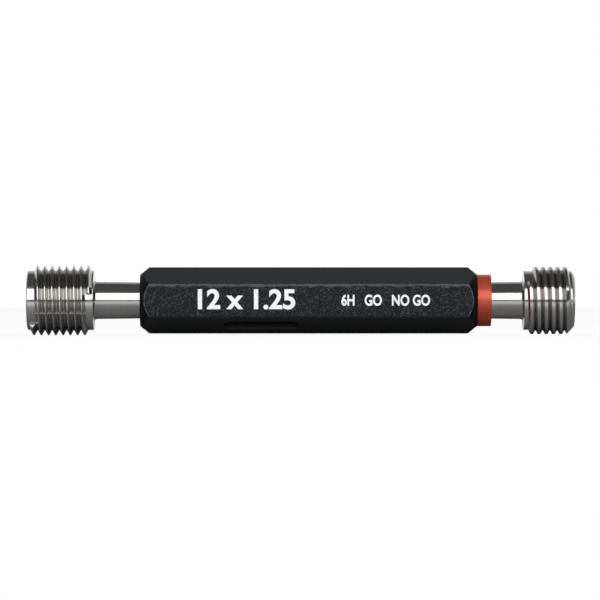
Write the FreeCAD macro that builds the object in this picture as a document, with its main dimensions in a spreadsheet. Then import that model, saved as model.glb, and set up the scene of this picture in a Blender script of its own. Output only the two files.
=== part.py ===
"""Double-ended thread plug gauge for an M12 x 1.25 - 6H internal thread.

A hexagonal handle carries a GO member at its -X end and a NO-GO member at its +X end.
Each member is one ground steel piece: threaded head, neck and 1:50 taper shank. The shanks
lock in the handle's taper bores and are driven out through its drift slots. A red ring on
the neck marks the NO-GO end.

Millimetres, +Z up. The gauge's axis is X, and the origin is the middle of its whole length.
Two opposite flats of the handle face -Y and +Y.
"""
import FreeCAD, Part
import math
import os
import re

import Sketcher

# ---------------------------------------------------------------- driving dimensions
DRIVING = [
    # thread, after ISO 68 and ISO 1502
    ("thread_diameter", 12),            # nominal
    ("thread_pitch", 1.25),
    ("flank_angle", 30),                # half of the thread's 60 degrees
    ("go_allowance", 0.012),            # GO pitch and major diameters over the basic ones
    ("no_go_allowance", 0.185),         # NO-GO pitch diameter over the basic one
    ("ridge_embed", 0.1),               # depth of the swept ridge inside its core
    ("grinding_stock", 0.05),           # ridge above the crest, before grinding
    # GO head, from the shoulder outwards
    ("go_head_length", 11.45),
    ("go_rear_land", 0.104),            # plain length before the ridge
    ("go_front_land", 0.344),           # plain length after the ridge
    ("go_lead_chamfer", 0.2),           # at 45 degrees, on the front land
    ("go_start_angle", 12),             # where the ridge starts, about the axis
    ("dirt_groove_angle", -23.5),       # where the dirt groove lies, about the axis
    ("dirt_groove_width", 0.38),
    ("dirt_groove_depth", 0.06),        # below the root
    # NO-GO head, from the shoulder outwards
    ("no_go_head_length", 8.7),
    ("no_go_rear_land", 0.464),
    ("no_go_front_land", 0.294),
    ("no_go_lead_chamfer", 0.71),
    ("no_go_start_angle", 145),
    # neck and taper shank, alike on both members
    ("neck_length", 8),                 # from the handle's end face to the shoulder
    ("neck_chamfer", 0.45),             # in the corner at the shoulder
    ("taper_diameter", 6.27),           # at the handle's end face
    ("taper_ratio", 50),                # length in which the diameter falls by 1
    ("shank_length", 16),               # inside the handle
    ("shank_chamfer", 0.4),
    ("centre_diameter", 1.6),           # mouth of the grinding centres
    ("centre_angle", 30),               # half of the centres' 60 degrees
    # handle
    ("handle_length", 58),
    ("handle_flats", 10),               # across flats
    ("corner_rounding", 0.4),
    ("end_diameter", 8.95),             # end face, inside the turned cone
    ("end_cone_angle", 38.7),           # between the cone and the axis
    ("taper_gap", 0.005),               # shank to bore, on the radius
    ("taper_bore_length", 17.5),
    ("bore_mouth_chamfer", 0.2),
    ("drill_diameter", 5.6),
    ("drill_depth", 25.5),              # full diameter, from the end face
    ("drill_point_angle", 59),          # half of the drill's 118 degrees
    ("slot_start", 14.5),               # from the end face
    ("slot_length", 12.85),
    ("slot_width", 2.4),
    ("slot_edge_break", 0.12),
    ("slot_angle", 150),                # turn of the slot's plane about X
    # marker ring
    ("ring_diameter", 8.9),
    ("ring_width", 2.4),
    ("ring_gap", 0.02),                 # bore to neck, on the radius
    # overrun of every cutting profile past the surface that it leaves
    ("overrun", 1),
]

# ---------------------------------------------------------------- sizes that follow
FOLLOWING = [
    ("half_flats", "handle_flats / 2"),
    ("corner_reach", "half_flats / cos(30)"),
    ("half_handle", "handle_length / 2"),
    ("handle_middle", "(go_head_length - no_go_head_length) / 2"),
    ("end_radius", "end_diameter / 2"),
    ("taper_radius", "taper_diameter / 2"),
    ("neck_radius", "taper_radius + neck_length / (2 * taper_ratio)"),
    ("shank_end", "-neck_length - shank_length"),
    ("shank_end_radius", "taper_radius - shank_length / (2 * taper_ratio)"),
    ("centre_radius", "centre_diameter / 2"),
    ("centre_depth", "centre_radius / tan(centre_angle)"),
    ("bore_radius", "taper_radius + taper_gap"),
    ("drill_radius", "drill_diameter / 2"),
    ("slot_end_radius", "slot_width / 2"),
    ("ring_radius", "ring_diameter / 2"),
    ("ring_bore_radius", "taper_radius + ring_width / (2 * taper_ratio) + ring_gap"),
    ("basic_pitch_radius", "thread_diameter / 2 - thread_pitch * 3 / 16 / tan(flank_angle)"),
    ("root_flat", "thread_pitch / 16"),
    ("ridge_half", "(thread_pitch - root_flat) / 2"),
    ("root_below_pitch", "(ridge_half - thread_pitch / 4) / tan(flank_angle)"),
    ("go_pitch_radius", "basic_pitch_radius + go_allowance / 2"),
    ("go_major_radius", "(thread_diameter + go_allowance) / 2"),
    ("no_go_pitch_radius", "basic_pitch_radius + no_go_allowance / 2"),
    ("no_go_major_radius", "no_go_pitch_radius + thread_pitch / 10"),
]
for head in ("go", "no_go"):
    FOLLOWING += [
        (f"{head}_crest_half",
         f"thread_pitch / 4 - ({head}_major_radius - {head}_pitch_radius) * tan(flank_angle)"),
        (f"{head}_root_radius", f"{head}_pitch_radius - root_below_pitch"),
        (f"{head}_ridge_start", f"{head}_rear_land + ridge_half"),
        (f"{head}_ridge_travel",
         f"{head}_head_length - {head}_ridge_start - ridge_half - {head}_front_land"),
    ]

WORDS = {name for name, _ in DRIVING + FOLLOWING}

DOC = FreeCAD.newDocument("thread_plug_gauge")
SHEET = DOC.addObject("Spreadsheet::Sheet", "sizes")


def fill_sheet():
    """Writes the driving dimensions as numbers and the others as formulas, with aliases."""
    rows = [(name, str(number)) for name, number in DRIVING]
    rows += [(name, "=" + formula) for name, formula in FOLLOWING]
    for row, (name, content) in enumerate(rows, start=1):
        SHEET.set(f"A{row}", name)
        SHEET.set(f"B{row}", content)
        SHEET.setAlias(f"B{row}", name)
    DOC.recompute()


def bound(text):
    """The expression with each size's name written as a reference to its cell."""
    return re.sub("[a-z_]+", lambda word: f"sizes.{word[0]}" if word[0] in WORDS else word[0],
                  text)


def value(text):
    """The number that an expression gives."""
    return float(SHEET.evalExpression(bound(text)))


# ---------------------------------------------------------------- building blocks
def new_body(name):
    """An empty body, whose label is the sub-part's name."""
    body = DOC.addObject("PartDesign::Body", name)
    body.Label = name
    return body


def sketch_on(body, name, role="XY_Plane"):
    """An empty sketch on one of the body's own origin planes."""
    sketch = body.newObject("Sketcher::SketchObject", name)
    plane = next(item for item in body.Origin.OriginFeatures if item.Role == role)
    sketch.AttachmentSupport = [(plane, "")]
    sketch.MapMode = "FlatFace"
    return sketch


def turn_about_x(sketch, angle):
    """Turns an attached sketch about the body's X axis."""
    some_turn = FreeCAD.Rotation(FreeCAD.Vector(1, 0, 0), 1)
    sketch.AttachmentOffset = FreeCAD.Placement(FreeCAD.Vector(), some_turn)
    sketch.setExpression("AttachmentOffset.Rotation.Angle", bound(angle))


def constrain(sketch, kind, *where, size):
    """A dimension of the sketch, bound to an expression."""
    index = sketch.addConstraint(Sketcher.Constraint(kind, *where, value(size)))
    sketch.setExpression(f"Constraints[{index}]", bound(size))


def outline(sketch, corners):
    """A closed outline of straight lines through corners, each a pair of expressions."""
    places = [FreeCAD.Vector(value(x), value(y), 0) for x, y in corners]
    for start, end in zip(places, places[1:] + places[:1]):
        sketch.addGeometry(Part.LineSegment(start, end), False)
    for line, (x, y) in enumerate(corners):
        following = (line + 1) % len(corners)
        sketch.addConstraint(Sketcher.Constraint("Coincident", line, 2, following, 1))
        for kind, zero_axis, size in (("DistanceX", -2, x), ("DistanceY", -1, y)):
            if size == "0":
                on_axis = Sketcher.Constraint("PointOnObject", line, 1, zero_axis)
                sketch.addConstraint(on_axis)
            else:
                constrain(sketch, kind, -1, 1, line, 1, size=size)


def slot_outline(sketch, first_centre, last_centre, radius):
    """A slot along the sketch's X axis, whose round ends have these centres."""
    left = FreeCAD.Vector(value(first_centre), 0, 0)
    right = FreeCAD.Vector(value(last_centre), 0, 0)
    up = FreeCAD.Vector(0, value(radius), 0)
    normal = FreeCAD.Vector(0, 0, 1)
    left_round = Part.Circle(left, normal, up.y)
    right_round = Part.Circle(right, normal, up.y)
    sketch.addGeometry(Part.ArcOfCircle(left_round, math.pi / 2, math.pi * 1.5), False)
    sketch.addGeometry(Part.LineSegment(left - up, right - up), False)
    sketch.addGeometry(Part.ArcOfCircle(right_round, -math.pi / 2, math.pi / 2), False)
    sketch.addGeometry(Part.LineSegment(right + up, left + up), False)
    for piece in range(4):
        following = (piece + 1) % 4
        sketch.addConstraint(Sketcher.Constraint("Tangent", piece, 2, following, 1))
    for arc, centre in ((0, first_centre), (2, last_centre)):
        sketch.addConstraint(Sketcher.Constraint("PointOnObject", arc, 3, -1))
        constrain(sketch, "DistanceX", -1, 1, arc, 3, size=centre)
    sketch.addConstraint(Sketcher.Constraint("Equal", 0, 2))
    constrain(sketch, "Radius", 0, size=radius)


def feature(body, kind, name, sketch, **settings):
    """A PartDesign feature made from a sketch. Text settings are expressions."""
    volume_before = body.Shape.Volume if body.Tip else 0
    made = body.newObject("PartDesign::" + kind, name)
    made.Profile = sketch
    for key, setting in settings.items():
        if isinstance(setting, str):
            made.setExpression(key, bound(setting))
        else:
            setattr(made, key, setting)
    DOC.recompute()
    if kind in ("Groove", "Pocket") and made.Shape.Volume >= volume_before:
        raise RuntimeError(f"{name} cuts nothing")
    return made


def turned(body, kind, name, corners, **settings):
    """A Revolution or a Groove of an outline about the X axis."""
    sketch = sketch_on(body, name + "_profile")
    outline(sketch, corners)
    return feature(body, kind, name, sketch, ReferenceAxis=(sketch, ["H_Axis"]), Angle=360,
                   **settings)


def edges_where(shape, test):
    """Names of the edges that pass a test."""
    return [f"Edge{i}" for i, edge in enumerate(shape.Edges, start=1) if test(edge)]


def dressed(body, kind, name, test, size):
    """A Fillet or a Chamfer on the edges of the body that pass a test."""
    base = body.Tip
    made = body.newObject("PartDesign::" + kind, name)
    made.Base = (base, edges_where(base.Shape, test))
    made.setExpression("Radius" if kind == "Fillet" else "Size", bound(size))
    DOC.recompute()
    return made


# ---------------------------------------------------------------- gauge members
def gauge_member(name, head):
    """A member in its own frame: shoulder at X 0, head towards +X, shank towards -X."""
    body = new_body(name)
    end = f"{head}_head_length"
    root = f"{head}_root_radius"
    turned(body, "Revolution", f"{name}_blank", [
        ("shank_end", "0"),
        ("shank_end", "shank_end_radius - shank_chamfer"),
        ("shank_end + shank_chamfer", "shank_end_radius + shank_chamfer / (2 * taper_ratio)"),
        ("0", "neck_radius"),
        ("0", root),
        (end, root),
        (end, "centre_radius"),
        (f"{end} - centre_depth", "0"),
    ])
    dressed(body, "Chamfer", f"{name}_neck_chamfer",
            lambda edge: is_ring(edge, 0, value("neck_radius")), "neck_chamfer")
    thread_ridge(body, name, head)
    crest = f"{head}_major_radius"
    lead = f"({root} - {head}_lead_chamfer)"
    turned(body, "Groove", f"{name}_grinding", [
        ("-overrun", crest),
        (f"{end} - {crest} + {lead}", crest),
        (f"{end} + overrun", f"{lead} - overrun"),
        (f"{end} + overrun", f"{crest} + overrun"),
        ("-overrun", f"{crest} + overrun"),
    ], Refine=False)
    return body


def is_ring(edge, x, radius):
    """Whether an edge is a whole circle about the X axis, at a place along it."""
    curve = edge.Curve
    return (isinstance(curve, Part.Circle)
            and abs(curve.Center.x - x) < 1e-4
            and abs(curve.Radius - radius) < 1e-4)


def thread_ridge(body, name, head):
    """Right-hand thread: its ridge is swept along a helix, from a blunt start to a blunt end.
    Its crest is left high for grinding, and its foot goes straight down into the core."""
    sketch = sketch_on(body, f"{name}_ridge_profile")
    turn_about_x(sketch, f"{head}_start_angle")
    middle = f"{head}_ridge_start"
    root = f"{head}_root_radius"
    top_half = f"({head}_crest_half - grinding_stock * tan(flank_angle))"
    top = f"{head}_major_radius + grinding_stock"
    outline(sketch, [
        (f"{middle} - ridge_half", f"{root} - ridge_embed"),
        (f"{middle} - ridge_half", root),
        (f"{middle} - {top_half}", top),
        (f"{middle} + {top_half}", top),
        (f"{middle} + ridge_half", root),
        (f"{middle} + ridge_half", f"{root} - ridge_embed"),
    ])
    feature(body, "AdditiveHelix", f"{name}_thread", sketch,
            ReferenceAxis=(sketch, ["H_Axis"]), Mode=0, LeftHanded=False, Reversed=False,
            Pitch="thread_pitch", Height=f"{head}_ridge_travel")


def dirt_groove(body):
    """A narrow groove along the GO thread, which takes up dirt from the part under test."""
    sketch = sketch_on(body, "dirt_groove_profile")
    turn_about_x(sketch, "dirt_groove_angle - 90")
    floor = "(go_root_radius - dirt_groove_depth)"
    for axis, part in (("y", "cos"), ("z", "sin")):
        sketch.setExpression(f"AttachmentOffset.Base.{axis}",
                             bound(f"{floor} * {part}(dirt_groove_angle)"))
    last = "go_head_length - go_front_land"
    half = "dirt_groove_width / 2"
    outline(sketch, [
        ("go_rear_land", f"-{half}"),
        (last, f"-{half}"),
        (last, half),
        ("go_rear_land", half),
    ])
    feature(body, "Pocket", "dirt_groove", sketch, Reversed=True,
            Length=f"go_major_radius - {floor} + overrun")


# ---------------------------------------------------------------- handle
def handle_body():
    """Hexagonal handle about its own middle. Its ends are alike: what is cut at the -X end
    is repeated at the +X end by half a turn about an axis across the handle."""
    body = new_body("handle")
    hexagon = sketch_on(body, "handle_hexagon", "YZ_Plane")
    outline(hexagon, [(f"corner_reach * cos({angle})", f"corner_reach * sin({angle})")
                      for angle in range(30, 360, 60)])
    feature(body, "Pad", "handle_bar", hexagon, Length="handle_length", Midplane=True)
    dressed(body, "Fillet", "handle_corners",
            lambda edge: abs(edge.Length - value("handle_length")) < 1e-4, "corner_rounding")

    top = "(corner_reach + overrun)"
    cone = turned(body, "Groove", "end_cone", [
        ("-half_handle - overrun", "end_radius - overrun * tan(end_cone_angle)"),
        (f"-half_handle + ({top} - end_radius) / tan(end_cone_angle)", top),
        ("-half_handle - overrun", top),
    ])
    taper = "/ (2 * taper_ratio)"
    bore = turned(body, "Groove", "taper_bore", [
        ("-half_handle - overrun", "0"),
        ("-half_handle - overrun", "bore_radius + bore_mouth_chamfer + overrun"),
        ("-half_handle + bore_mouth_chamfer", f"bore_radius - bore_mouth_chamfer {taper}"),
        ("-half_handle + taper_bore_length", f"bore_radius - taper_bore_length {taper}"),
        ("-half_handle + taper_bore_length", "drill_radius"),
        ("-half_handle + drill_depth", "drill_radius"),
        ("-half_handle + drill_depth + drill_radius / tan(drill_point_angle)", "0"),
    ])
    sketch = sketch_on(body, "drift_slot_profile")
    turn_about_x(sketch, "slot_angle")
    slot_outline(sketch, "-half_handle + slot_start + slot_end_radius",
                 "-half_handle + slot_start + slot_length - slot_end_radius",
                 "slot_end_radius")
    slot = feature(body, "Pocket", "drift_slot", sketch, Reversed=True,
                   Length="half_flats + overrun")

    other_end = body.newObject("PartDesign::PolarPattern", "other_end")
    other_end.Originals = [cone, bore, slot]
    other_end.Axis = (sketch, ["V_Axis"])
    other_end.Angle = 360
    other_end.Occurrences = 2
    body.Tip = other_end
    DOC.recompute()
    dressed(body, "Chamfer", "slot_edges", is_slot_rim, "slot_edge_break")
    return body


def is_slot_rim(edge):
    """Whether an edge is part of a drift slot's mouth, on its flat of the handle."""
    outward = FreeCAD.Rotation(FreeCAD.Vector(1, 0, 0), value("slot_angle")).multVec(
        FreeCAD.Vector(0, 0, 1))
    points = [edge.valueAt(edge.FirstParameter), edge.valueAt(edge.LastParameter)]
    on_flat = all(abs(abs(point.dot(outward)) - value("half_flats")) < 1e-4
                  for point in points)
    across = FreeCAD.Vector(1, 0, 0).cross(outward)
    in_slot = all(abs(point.dot(across)) < value("slot_end_radius") + 1e-4
                  and abs(point.x) < value("half_handle - slot_start") + 1e-4
                  for point in points)
    return on_flat and in_slot


# ---------------------------------------------------------------- marker ring
def marker_ring():
    """Ring on the NO-GO neck. Its face at X 0 lies against the handle's end face."""
    body = new_body("marker_ring")
    turned(body, "Revolution", "ring_band", [
        ("0", "ring_bore_radius"),
        ("ring_width", "ring_bore_radius"),
        ("ring_width", "ring_radius"),
        ("0", "ring_radius"),
    ])
    return body


# ---------------------------------------------------------------- assembly and export
def place(body, x, turn=0):
    """Puts a body on the gauge's axis, turned about Z."""
    body.Placement = FreeCAD.Placement(
        FreeCAD.Vector(), FreeCAD.Rotation(FreeCAD.Vector(0, 0, 1), turn))
    body.setExpression("Placement.Base.x", bound(x))


def export(bodies):
    """Writes each sub-part to its own STEP file, once every object has proved sound."""
    for item in DOC.Objects:
        if {"Invalid", "Error"} & set(item.State):
            raise RuntimeError(f"{item.Name} failed: {item.State}")
    for body in bodies:
        shape = body.Shape
        if shape.isNull() or not shape.isValid() or len(shape.Solids) != 1:
            raise RuntimeError(f"{body.Label} is not one sound solid")
    os.makedirs("parts", exist_ok=True)
    for body in bodies:
        body.Shape.exportStep(f"parts/{body.Label}.step")


fill_sheet()
handle = handle_body()
go_member = gauge_member("go_member", "go")
dirt_groove(go_member)
no_go_member = gauge_member("no_go_member", "no_go")
ring = marker_ring()

place(handle, "handle_middle")
place(go_member, "handle_middle - half_handle - neck_length", turn=180)
place(no_go_member, "handle_middle + half_handle + neck_length")
place(ring, "handle_middle + half_handle")
DOC.recompute()
export([handle, go_member, no_go_member, ring])
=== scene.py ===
"""Looks of a double-ended thread plug gauge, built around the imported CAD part.

Metres, in the part's own frame: the gauge's axis is X and the camera looks along +Y.
"""

import math

import bpy
from mathutils import Matrix, Vector


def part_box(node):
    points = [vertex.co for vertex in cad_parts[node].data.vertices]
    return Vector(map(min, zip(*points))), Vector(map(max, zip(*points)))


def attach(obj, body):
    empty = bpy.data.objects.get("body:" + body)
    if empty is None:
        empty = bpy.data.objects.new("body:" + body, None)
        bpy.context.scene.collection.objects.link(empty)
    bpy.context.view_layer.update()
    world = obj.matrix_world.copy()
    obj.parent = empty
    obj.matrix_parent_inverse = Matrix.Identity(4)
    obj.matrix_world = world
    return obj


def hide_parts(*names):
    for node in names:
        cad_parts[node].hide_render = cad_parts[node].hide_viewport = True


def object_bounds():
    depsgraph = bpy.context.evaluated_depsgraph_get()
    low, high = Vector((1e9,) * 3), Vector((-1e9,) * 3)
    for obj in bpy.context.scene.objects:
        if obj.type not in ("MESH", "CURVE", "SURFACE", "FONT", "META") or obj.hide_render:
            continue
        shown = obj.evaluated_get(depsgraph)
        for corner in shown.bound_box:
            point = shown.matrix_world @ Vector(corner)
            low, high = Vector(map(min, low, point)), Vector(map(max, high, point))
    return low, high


MM = 0.001
TURN = 2 * math.pi

# ---------------------------------------------------------------- frame and sizes
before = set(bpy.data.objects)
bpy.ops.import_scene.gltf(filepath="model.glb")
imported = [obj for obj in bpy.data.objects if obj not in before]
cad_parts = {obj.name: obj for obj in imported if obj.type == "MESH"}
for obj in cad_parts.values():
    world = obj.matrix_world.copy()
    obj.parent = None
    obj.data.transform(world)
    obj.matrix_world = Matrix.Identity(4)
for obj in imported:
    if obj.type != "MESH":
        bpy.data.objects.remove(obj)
cad_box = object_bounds()
GO_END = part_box("go_member")[0][0]
NO_GO_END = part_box("no_go_member")[1][0]
HANDLE_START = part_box("handle")[0][0]
HANDLE_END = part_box("handle")[1][0]
HANDLE_MIDDLE = (HANDLE_START + HANDLE_END) / 2
RING_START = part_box("marker_ring")[0][0]
RING_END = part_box("marker_ring")[1][0]
FLOOR_LEVEL = cad_box[0][2]
HALF_FLATS = 5 * MM
# Top of the band of wear and painted edge highlight along the handle's upper corners.
CORNER_WEAR_HIGHLIGHT_TOP = 2.84 * MM
CONE_SLOPE = 0.801
CONE_END_RADIUS = 4.475 * MM

PITCH = 1.25 * MM
FLANK = math.tan(math.radians(30))
GO_HEAD = 11.45 * MM
NO_GO_HEAD = 8.7 * MM
NECK_LENGTH = 8 * MM
NECK_FILLET = 0.6 * MM
TAPER_SLOPE = 1 / 100
TAPER_RADIUS = 3.135 * MM
SHANK_LENGTH = 16 * MM
SHANK_CHAMFER = 0.4 * MM
SOFT_EDGE = 0.05 * MM
CENTRE_RADIUS = 0.8 * MM
CENTRE_DEPTH = 1.38 * MM

RING_RADIUS = 4.45 * MM
RING_BORE = 3.18 * MM
RING_EDGE = 0.1 * MM

HEAD_STEPS = 160
STEPS_A_TURN = 128


# ---------------------------------------------------------------- mesh helpers
def finished(name, vertices, faces, sharp_angle=30):
    """An object from vertices and faces, smooth apart from its sharp edges."""
    mesh = bpy.data.meshes.new(name)
    mesh.from_pydata(vertices, [], faces)
    mesh.validate()
    mesh.polygons.foreach_set("use_smooth", [True] * len(mesh.polygons))
    mesh.set_sharp_from_angle(angle=math.radians(sharp_angle))
    mesh.update()
    piece = bpy.data.objects.new(name, mesh)
    bpy.context.scene.collection.objects.link(piece)
    return piece


def lathe(outline, steps):
    """Vertices and faces of a solid turned about X. The outline runs from the axis to the axis,
    or is a closed loop clear of it."""
    vertices = []
    rows = []
    for x, r in outline:
        if r == 0:
            rows.append([len(vertices)] * steps)
            vertices.append((x, 0, 0))
        else:
            rows.append([len(vertices) + i for i in range(steps)])
            vertices += [(x, r * math.cos(TURN * i / steps), r * math.sin(TURN * i / steps))
                         for i in range(steps)]
    pairs = list(zip(rows, rows[1:]))
    if outline[0][1] != 0:
        pairs.append((rows[-1], rows[0]))
    faces = []
    for first, second in pairs:
        for i in range(steps):
            j = (i + 1) % steps
            face = [first[j], first[i], second[i], second[j]]
            face = [corner for k, corner in enumerate(face) if corner != face[k - 1]]
            if len(set(face)) > 2:
                faces.append(face)
    return vertices, faces


def arc(centre_x, centre_r, radius, start, end, steps=8):
    """Points of an arc in the (x, r) plane, between two angles in degrees."""
    angles = [math.radians(start + (end - start) * i / steps) for i in range(steps + 1)]
    return [(centre_x + radius * math.cos(a), centre_r + radius * math.sin(a)) for a in angles]


def swept_ridge(profile, start_x, start_angle, end_angle, gap_angle, gap_width, limit):
    """Vertices and faces of a helical ridge. A straight-sided gap along the head, if any, cuts
    it into pieces, and limit(x) is the largest radius at x."""
    cuts = []
    if gap_width:
        crossing = gap_angle
        while crossing < end_angle:
            if crossing > start_angle:
                cuts.append(crossing)
            crossing += TURN
    spans = list(zip([start_angle] + cuts, cuts + [end_angle]))
    vertices = []
    faces = []
    width = len(profile)
    for first, last in spans:
        rows = max(2, round((last - first) / TURN * STEPS_A_TURN))
        base = len(vertices)
        for row in range(rows + 1):
            share = row / rows
            for offset, radius in profile:
                half = math.asin(gap_width / 2 / radius)
                low = first + (half if first in cuts else 0)
                high = last - (half if last in cuts else 0)
                angle = low + (high - low) * share
                x = start_x + offset + PITCH * (angle - start_angle) / TURN
                r = min(radius, limit(x))
                vertices.append((x, r * math.cos(angle), r * math.sin(angle)))
        for row in range(rows):
            for i in range(width):
                j = (i + 1) % width
                a = base + row * width
                faces.append((a + i, a + j, a + width + j, a + width + i))
        faces.append([base + i for i in reversed(range(width))])
        faces.append([base + rows * width + i for i in range(width)])
    return vertices, faces


def thread_profile(crest_radius, pitch_radius, land_radius):
    """Section of one ridge as (offset along X, radius), with softly rounded crest edges."""
    sliver = 0.004 * MM
    sunk = 0.1 * MM
    valley_half = PITCH / 2 - sliver
    valley_radius = pitch_radius - (valley_half - PITCH / 4) / FLANK
    crest_half = PITCH / 4 - (crest_radius - pitch_radius) * FLANK
    round_off = 0.035 * MM
    side = [(valley_half, land_radius - sunk), (valley_half, valley_radius)]
    steps = 6
    top_r = crest_radius - round_off
    for i in range(1, steps + 1):
        r = valley_radius + (top_r - valley_radius) * i / steps
        side.append((PITCH / 4 - (r - pitch_radius) * FLANK, r))
    shoulder = side[-1][0]
    side.append(((shoulder + crest_half) / 2 - sliver, crest_radius - round_off * 0.3))
    side.append((crest_half - 0.02 * MM, crest_radius))
    return [(-x, r) for x, r in side] + [(x, r) for x, r in reversed(side)]


# ---------------------------------------------------------------- gauge members
def member(name, head, crest, pitch_radius, land, lead, ridge, gap, turn):
    """One steel member, made with its shoulder at X 0 and its head towards +X, then turned.
    The ridge is (start X, start angle, end X) and the gap is (angle, width), in degrees."""
    start_x, start_angle, end_x = ridge
    start = math.radians(start_angle)
    end = start + (end_x - start_x) / PITCH * TURN
    neck_radius = TAPER_RADIUS + NECK_LENGTH * TAPER_SLOPE
    shank_end = -NECK_LENGTH - SHANK_LENGTH
    shank_radius = TAPER_RADIUS - SHANK_LENGTH * TAPER_SLOPE
    outline = [(shank_end, 0), (shank_end, shank_radius - SHANK_CHAMFER),
               (shank_end + SHANK_CHAMFER, shank_radius), (-NECK_LENGTH, TAPER_RADIUS)]
    outline += arc(-NECK_FILLET, neck_radius + NECK_FILLET, NECK_FILLET, -90, 0)
    outline += arc(SOFT_EDGE, land - SOFT_EDGE, SOFT_EDGE, 180, 90, 3)
    outline += [(start_x, land), (head - (land - lead), land),
                (head - SOFT_EDGE, lead + SOFT_EDGE), (head, lead - SOFT_EDGE / 2)]
    outline += [(head, CENTRE_RADIUS), (head - CENTRE_DEPTH, 0)]
    vertices, faces = lathe(outline, HEAD_STEPS)
    profile = thread_profile(crest, pitch_radius, land)
    more, more_faces = swept_ridge(profile, start_x, start, end, math.radians(gap[0]),
                                   gap[1], lambda x: lead + head - x)
    shift = len(vertices)
    faces += [[corner + shift for corner in face] for face in more_faces]
    vertices += more
    piece = finished(name, vertices, faces)
    piece.data.transform(turn)
    return piece


half_turn = Matrix.Rotation(math.pi, 4, "Z")
go = member("go_gauge_member", head=GO_HEAD, crest=6.006 * MM, pitch_radius=5.6001 * MM,
            land=5.1 * MM, lead=4.926 * MM, ridge=(0.69 * MM, 12, 10.47 * MM),
            gap=(-23.5, 0.42 * MM),
            turn=Matrix.Translation((GO_END + GO_HEAD, 0, 0)) @ half_turn)
no_go = member("no_go_gauge_member", head=NO_GO_HEAD, crest=5.8115 * MM,
               pitch_radius=5.6865 * MM, land=5.07 * MM, lead=4.58 * MM,
               ridge=(1.05 * MM, 145, 7.82 * MM), gap=(0, 0),
               turn=Matrix.Translation((NO_GO_END - NO_GO_HEAD, 0, 0)))
for piece, node in ((go, "go_member"), (no_go, "no_go_member")):
    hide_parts(node)
    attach(piece, "root")

# ---------------------------------------------------------------- marker ring
edge_radius = RING_RADIUS - RING_EDGE
ring_outline = ([(RING_START, RING_BORE)]
                + arc(RING_START + RING_EDGE, edge_radius, RING_EDGE, 180, 90, 4)
                + arc(RING_END - RING_EDGE, edge_radius, RING_EDGE, 90, 0, 4)
                + [(RING_END, RING_BORE)])
ring = finished("red_marker_ring", *lathe(ring_outline, STEPS_A_TURN), sharp_angle=40)
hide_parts("marker_ring")
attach(ring, "root")


# ---------------------------------------------------------------- print on the handle
PRINT_THICKNESS = 0.016 * MM


def printed(name, words, left, right, middle_z, height):
    """Print on the handle's front flat, stretched to fill the given length and height. Half
    its thickness stands proud of the flat."""
    curve = bpy.data.curves.new(name + "_outline", "FONT")
    curve.body = words
    curve.extrude = 0.5
    curve.offset = 0.03
    curve.align_x = "LEFT"
    source = bpy.data.objects.new(name + "_outline", curve)
    bpy.context.scene.collection.objects.link(source)
    bpy.context.view_layer.update()
    mesh = bpy.data.meshes.new_from_object(source)
    bpy.data.objects.remove(source)
    xs = [v.co.x for v in mesh.vertices]
    ys = [v.co.y for v in mesh.vertices]
    wide = (right - left) / (max(xs) - min(xs))
    tall = height / (max(ys) - min(ys))
    for v in mesh.vertices:
        x = left + (v.co.x - min(xs)) * wide
        z = middle_z - height / 2 + (v.co.y - min(ys)) * tall
        v.co = Vector((x, -HALF_FLATS - v.co.z * PRINT_THICKNESS, z))
    mesh.update()
    piece = bpy.data.objects.new(name, mesh)
    bpy.context.scene.collection.objects.link(piece)
    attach(piece, "root")
    return piece


size_print = printed("thread_size_print", "12 x 1.25", HANDLE_MIDDLE - 19.0 * MM,
                     HANDLE_MIDDLE - 2.3 * MM, 0.2 * MM, 3.5 * MM)
class_print = printed("class_print", "6H   GO   NO GO", HANDLE_MIDDLE + 5.6 * MM,
                      HANDLE_MIDDLE + 20.8 * MM, 0.05 * MM, 1.95 * MM)


# ---------------------------------------------------------------- materials
class Nodes:
    """Short ways to build a node tree."""

    def __init__(self, tree):
        self.tree = tree

    def add(self, kind, settings=None, **inputs):
        """A node, with its properties set and its inputs given a value or a link."""
        node = self.tree.nodes.new(kind)
        for key, setting in (settings or {}).items():
            setattr(node, key, setting)
        for key, given in inputs.items():
            name = key.replace("_", " ")
            socket = node.inputs[int(key[2:])] if key.startswith("in") else node.inputs[name]
            if isinstance(given, bpy.types.NodeSocket):
                self.tree.links.new(given, socket)
            else:
                socket.default_value = given
        return node

    def maths(self, operation, first, second=0.0, third=0.0):
        """The result of a Math node."""
        node = self.add("ShaderNodeMath", {"operation": operation},
                        in0=first, in1=second, in2=third)
        return node.outputs[0]

    def ramp(self, factor, stops):
        """The colour of a ramp. A stop is a place and a grey or a colour."""
        node = self.add("ShaderNodeValToRGB", in0=factor)
        ramp = node.color_ramp
        while len(ramp.elements) < len(stops):
            ramp.elements.new(0.5)
        for element, (place, colour) in zip(ramp.elements, stops):
            element.position = place
            if isinstance(colour, (int, float)):
                colour = (colour, colour, colour)
            element.color = (*colour, 1)
        return node.outputs[0]

    def mixed(self, factor, first, second):
        """A colour between two, each a link or a value."""
        node = self.add("ShaderNodeMix", {"data_type": "RGBA"}, Factor=factor, in6=first,
                        in7=second)
        return node.outputs[2]

    def noise(self, vector, scale, detail=4.0, roughness=0.55):
        """The value of a Noise texture."""
        node = self.add("ShaderNodeTexNoise", Vector=vector, Scale=scale, Detail=detail,
                        Roughness=roughness)
        return node.outputs[0]

    def stretched(self, vector, factors):
        """The vector times a factor along each axis."""
        node = self.add("ShaderNodeVectorMath", {"operation": "MULTIPLY"},
                        in0=vector, in1=factors)
        return node.outputs[0]


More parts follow.
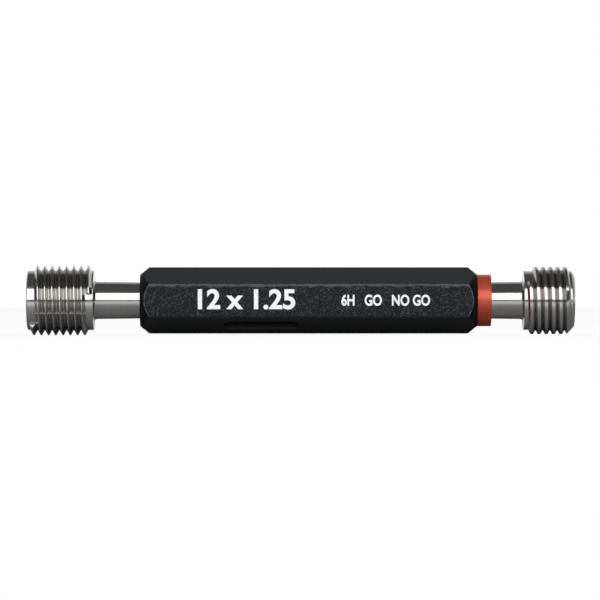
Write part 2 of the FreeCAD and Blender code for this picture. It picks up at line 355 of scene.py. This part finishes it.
def material(name, **settings):
    """A new material, with its nodes and its Principled shader."""
    made = bpy.data.materials.new(name)
    made.use_nodes = True
    nodes = Nodes(made.node_tree)
    shader = made.node_tree.nodes["Principled BSDF"]
    for key, setting in settings.items():
        shader.inputs[key.replace("_", " ")].default_value = setting
    where = nodes.add("ShaderNodeTexCoord").outputs["Object"]
    return made, nodes, shader, where


def link(nodes, output, shader, socket):
    """Join an output to one of the shader's named inputs."""
    nodes.tree.links.new(output, shader.inputs[socket])


def radius_of(nodes, where):
    """Distance from the gauge's axis, in metres."""
    split = nodes.add("ShaderNodeSeparateXYZ", Vector=where)
    y_squared = nodes.maths("POWER", split.outputs[1], 2.0)
    z_squared = nodes.maths("POWER", split.outputs[2], 2.0)
    return nodes.maths("SQRT", nodes.maths("ADD", y_squared, z_squared))


def steel():
    """Hardened steel, ground round its axis, and darker and browner down in the thread."""
    made, nodes, shader, where = material("ground_steel", Metallic=1.0)
    rings = nodes.stretched(where, (9000.0, 120.0, 120.0))
    lines = nodes.noise(rings, 1.0, 3.0)
    patches = nodes.noise(where, 420.0, 4.0)
    depth = nodes.add("ShaderNodeMapRange", Value=radius_of(nodes, where),
                      From_Min=5.15 * MM, From_Max=5.9 * MM)
    near_head = nodes.maths("GREATER_THAN", radius_of(nodes, where), 5.13 * MM)
    valley = nodes.maths("MULTIPLY", near_head,
                         nodes.maths("SUBTRACT", 1.0, depth.outputs[0]))
    ground = nodes.ramp(lines, [(0.3, (0.58, 0.575, 0.56)), (0.7, (0.64, 0.635, 0.625))])
    link(nodes, nodes.mixed(valley, ground, (0.54, 0.52, 0.50, 1)), shader, "Base Color")
    rough = nodes.add("ShaderNodeMapRange", Value=nodes.maths("ADD", lines, patches),
                      From_Min=0.6, From_Max=1.4, To_Min=0.10, To_Max=0.19)
    link(nodes, rough.outputs[0], shader, "Roughness")
    bump = nodes.add("ShaderNodeBump", Strength=0.10, Distance=0.004 * MM, Height=lines)
    link(nodes, bump.outputs[0], shader, "Normal")
    return made


def black_finish():
    """Black finish on the hexagon bar: grainy with painted glints on the marked flats, near black
    on the turned cones, and bright along the upper corners and round the ends of the flats,
    partly from wear and partly as painted edge highlights."""
    made, nodes, shader, where = material("black_finish", Specular_IOR_Level=0.16)
    split = nodes.add("ShaderNodeSeparateXYZ", Vector=where)
    x, y, z = split.outputs
    radius = radius_of(nodes, where)
    grain = nodes.noise(where, 4300.0, 2.0, 0.6)
    coarse = nodes.noise(nodes.stretched(where, (1.0, 1.6, 1.6)), 900.0, 5.0, 0.65)

    marked = nodes.maths("GREATER_THAN", nodes.maths("ABSOLUTE", y), HALF_FLATS - 0.03 * MM)
    # Marked flats: a darker pitted grain whose bright bluish specks are painted glints.
    grain_and_painted_glints = nodes.ramp(grain, [(0.40, (0.0065, 0.0075, 0.009)), (0.54, (0.011, 0.0125, 0.016)),
                                 (0.68, (0.058, 0.063, 0.083))])
    plain = nodes.ramp(coarse, [(0.3, (0.0185, 0.0205, 0.0225)), (0.7, (0.0225, 0.0245, 0.0265))])
    flats = nodes.mixed(marked, plain, grain_and_painted_glints)

    from_end = nodes.maths("SUBTRACT", (HANDLE_END - HANDLE_START) / 2,
                           nodes.maths("ABSOLUTE", nodes.maths("SUBTRACT", x, HANDLE_MIDDLE)))
    cone_radius = nodes.maths("MULTIPLY_ADD", from_end, CONE_SLOPE, CONE_END_RADIUS)
    inside_cone = nodes.maths("SUBTRACT", cone_radius, radius)
    turned = nodes.maths("LESS_THAN", inside_cone, 0.03 * MM)
    body = nodes.mixed(turned, flats, (0.003, 0.004, 0.006, 1))

    # A bright band down from the upper corner of the marked flats: partly wear, partly a painted
    # edge highlight from the light above.
    corner_height = nodes.maths("SUBTRACT", CORNER_WEAR_HIGHLIGHT_TOP, z)
    ragged = nodes.maths("MULTIPLY_ADD", nodes.maths("SUBTRACT", coarse, 0.5), 1.1 * MM,
                         corner_height)
    wear_and_highlight_band = nodes.ramp(nodes.maths("DIVIDE", ragged, 1.0 * MM),
                        [(0.0, 0.0), (0.06, 1.0), (0.32, 0.75), (0.55, 0.0)])
    wear_and_highlight_band = nodes.maths("MULTIPLY", wear_and_highlight_band, marked)
    # A bright arc on the marked flats where they meet the end cones: partly wear, partly a
    # painted edge highlight.
    rim_wear_and_highlight = nodes.ramp(nodes.maths("DIVIDE", inside_cone, 0.3 * MM),
                     [(0.09, 0.0), (0.12, 1.0), (0.42, 0.7), (0.6, 0.0)])
    rim_wear_and_highlight = nodes.maths("MULTIPLY", nodes.maths("MULTIPLY", rim_wear_and_highlight, marked),
                      nodes.ramp(coarse, [(0.42, 0.25), (0.55, 1.0)]))
    # Bluish grey of the corners and rims, standing for wear and painted edge highlights together.
    wear_and_highlight = nodes.maths("MAXIMUM", nodes.maths("MULTIPLY", wear_and_highlight_band, 0.8), rim_wear_and_highlight)
    colour = nodes.mixed(wear_and_highlight, body, (0.105, 0.112, 0.135, 1))
    link(nodes, colour, shader, "Base Color")
    link(nodes, nodes.ramp(coarse, [(0.3, 0.48), (0.7, 0.62)]), shader, "Roughness")
    height = nodes.maths("MULTIPLY", grain, marked)
    bump = nodes.add("ShaderNodeBump", Strength=0.5, Distance=0.03 * MM, Height=height)
    link(nodes, bump.outputs[0], shader, "Normal")
    return made


def red_finish():
    """Semi-gloss red, with the faint rings of a turned surface."""
    made, nodes, shader, where = material("red_finish", Metallic=0.55)
    lines = nodes.noise(nodes.stretched(where, (5000.0, 90.0, 90.0)), 1.0, 3.0)
    patches = nodes.noise(where, 500.0, 4.0)
    blend = nodes.maths("MULTIPLY_ADD", lines, 0.6, nodes.maths("MULTIPLY", patches, 0.4))
    colour = nodes.ramp(blend, [(0.35, (0.50, 0.072, 0.042)), (0.65, (0.58, 0.090, 0.050))])
    link(nodes, colour, shader, "Base Color")
    link(nodes, nodes.ramp(blend, [(0.3, 0.28), (0.7, 0.36)]), shader, "Roughness")
    bump = nodes.add("ShaderNodeBump", Strength=0.12, Distance=0.006 * MM, Height=lines)
    link(nodes, bump.outputs[0], shader, "Normal")
    return made


def white_print():
    """White ink, slightly uneven where the grain shows through."""
    made, nodes, shader, where = material("white_print", Roughness=0.5)
    specks = nodes.noise(where, 4200.0, 3.0, 0.7)
    colour = nodes.ramp(specks, [(0.25, (0.45, 0.46, 0.49)), (0.45, (0.93, 0.94, 0.97))])
    link(nodes, colour, shader, "Base Color")
    return made


steel_finish = steel()
for piece in (go, no_go):
    piece.data.materials.append(steel_finish)
ring.data.materials.append(red_finish())
ink = white_print()
for piece in (size_print, class_print):
    piece.data.materials.append(ink)
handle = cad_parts["handle"]
handle_finish = black_finish()
for socket in handle.material_slots:
    socket.material = handle_finish


# ---------------------------------------------------------------- floor, light and camera
# How far the painted shadow on the floor reaches either side of the gauge's axis.
FLOOR_SHADE_REACH = 40 * MM
DARK_CARD_HEIGHT = 9.2 * MM
DARK_CARD_DISTANCE = 0.07
CAMERA_DISTANCE = 0.72
VIEW_WIDTH = 103.5 * MM
SENSOR_WIDTH = 36


def card(name, centre, along, up, size):
    """A flat rectangle that isn't part of the object."""
    along = Vector(along).normalized() * size[0] / 2
    up = Vector(up).normalized() * size[1] / 2
    centre = Vector(centre)
    corners = [centre - along - up, centre + along - up, centre + along + up,
               centre - along + up]
    mesh = bpy.data.meshes.new(name)
    mesh.from_pydata([tuple(corner) for corner in corners], [], [(0, 1, 2, 3)])
    made = bpy.data.objects.new(name, mesh)
    bpy.context.scene.collection.objects.link(made)
    return made


def floor_finish():
    """Pale floor. The camera sees most of it as plain white."""
    made, nodes, shader, where = material("pale_floor", Roughness=0.8)
    # Painted shadow: the floor is darker along the gauge's axis and paler further out.
    across = nodes.add("ShaderNodeSeparateXYZ", Vector=where).outputs[1]
    off_axis = nodes.maths("DIVIDE", nodes.maths("ABSOLUTE", across), FLOOR_SHADE_REACH)
    painted_floor_shadow = nodes.ramp(off_axis, [(0.12, 0.22), (0.28, 0.34), (0.6, 0.86)])
    link(nodes, painted_floor_shadow, shader, "Base Color")
    path = nodes.add("ShaderNodeLightPath")
    glow = nodes.add("ShaderNodeEmission", Strength=1.0)
    share = nodes.maths("MULTIPLY", path.outputs["Is Camera Ray"], 0.94)
    mixed = nodes.add("ShaderNodeMixShader", in0=share, in1=shader.outputs[0],
                      in2=glow.outputs[0])
    output = made.node_tree.nodes["Material Output"]
    made.node_tree.links.new(mixed.outputs[0], output.inputs["Surface"])
    return made


floor = card("pale_floor", (0, 0.6, FLOOR_LEVEL), (1, 0, 0), (0, 1, 0), (6, 4))
floor.data.materials.append(floor_finish())

# The reflection of this card is the dark horizon line along the necks and heads.
dark_card = card("dark_card", (0, -DARK_CARD_DISTANCE, FLOOR_LEVEL + DARK_CARD_HEIGHT / 2),
                 (1, 0, 0), (0, 0, 1), (0.3, DARK_CARD_HEIGHT))
dark_card.data.materials.append(
    material("dark_card", Roughness=0.9, Base_Color=(0.02, 0.02, 0.02, 1))[0])
for kind in ("camera", "diffuse", "shadow", "transmission"):
    setattr(dark_card, "visible_" + kind, False)

# The room's brightness goes by the angle round X: 0 is towards the camera, 0.5 is overhead
# and 1 is behind the object.
world = bpy.data.worlds.new("studio")
bpy.context.scene.world = world
world.use_nodes = True
sky = Nodes(world.node_tree)
direction = sky.add("ShaderNodeTexCoord").outputs["Generated"]
split = sky.add("ShaderNodeSeparateXYZ", Vector=direction)
toward = sky.maths("MULTIPLY", split.outputs[1], -1.0)
height = sky.maths("ARCTAN2", split.outputs[2], toward)
share = sky.maths("DIVIDE", height, math.pi)
room = sky.ramp(share, [(0.0, 0.075), (0.69, 0.085), (0.73, 0.34), (0.83, 0.5), (1.0, 1.0)])
path = sky.add("ShaderNodeLightPath")
seen = sky.mixed(path.outputs["Is Camera Ray"], room, (1, 1, 1, 1))
world.node_tree.links.new(seen, world.node_tree.nodes["Background"].inputs[0])


def area_lamp(name, elevation, distance, size, power):
    """A soft lamp in front of the object at an elevation, aimed at its middle."""
    light = bpy.data.lights.new(name, "AREA")
    light.shape = "RECTANGLE"
    light.size = size[0]
    light.size_y = size[1]
    light.energy = power
    lamp = bpy.data.objects.new(name, light)
    bpy.context.scene.collection.objects.link(lamp)
    tilt = math.radians(elevation)
    lamp.location = (0, -distance * math.cos(tilt), distance * math.sin(tilt))
    lamp.rotation_euler = (-lamp.location).to_track_quat("-Z", "Y").to_euler()
    return lamp


area_lamp("front_softbox", elevation=24.5, distance=0.6, size=(0.9, 0.475), power=2.6)
fill = area_lamp("top_fill", elevation=62, distance=0.7, size=(1.0, 0.6), power=3.6)
fill.visible_glossy = False

camera_data = bpy.data.cameras.new("camera")
camera_data.sensor_width = SENSOR_WIDTH
camera_data.lens = SENSOR_WIDTH * CAMERA_DISTANCE / VIEW_WIDTH
camera = bpy.data.objects.new("camera", camera_data)
bpy.context.scene.collection.objects.link(camera)
camera.location = (-0.112 * MM, -CAMERA_DISTANCE, 0.07 * MM)
camera.rotation_euler = (math.radians(90), 0, 0)
bpy.context.scene.camera = camera
bpy.context.scene.view_settings.view_transform = "Standard"
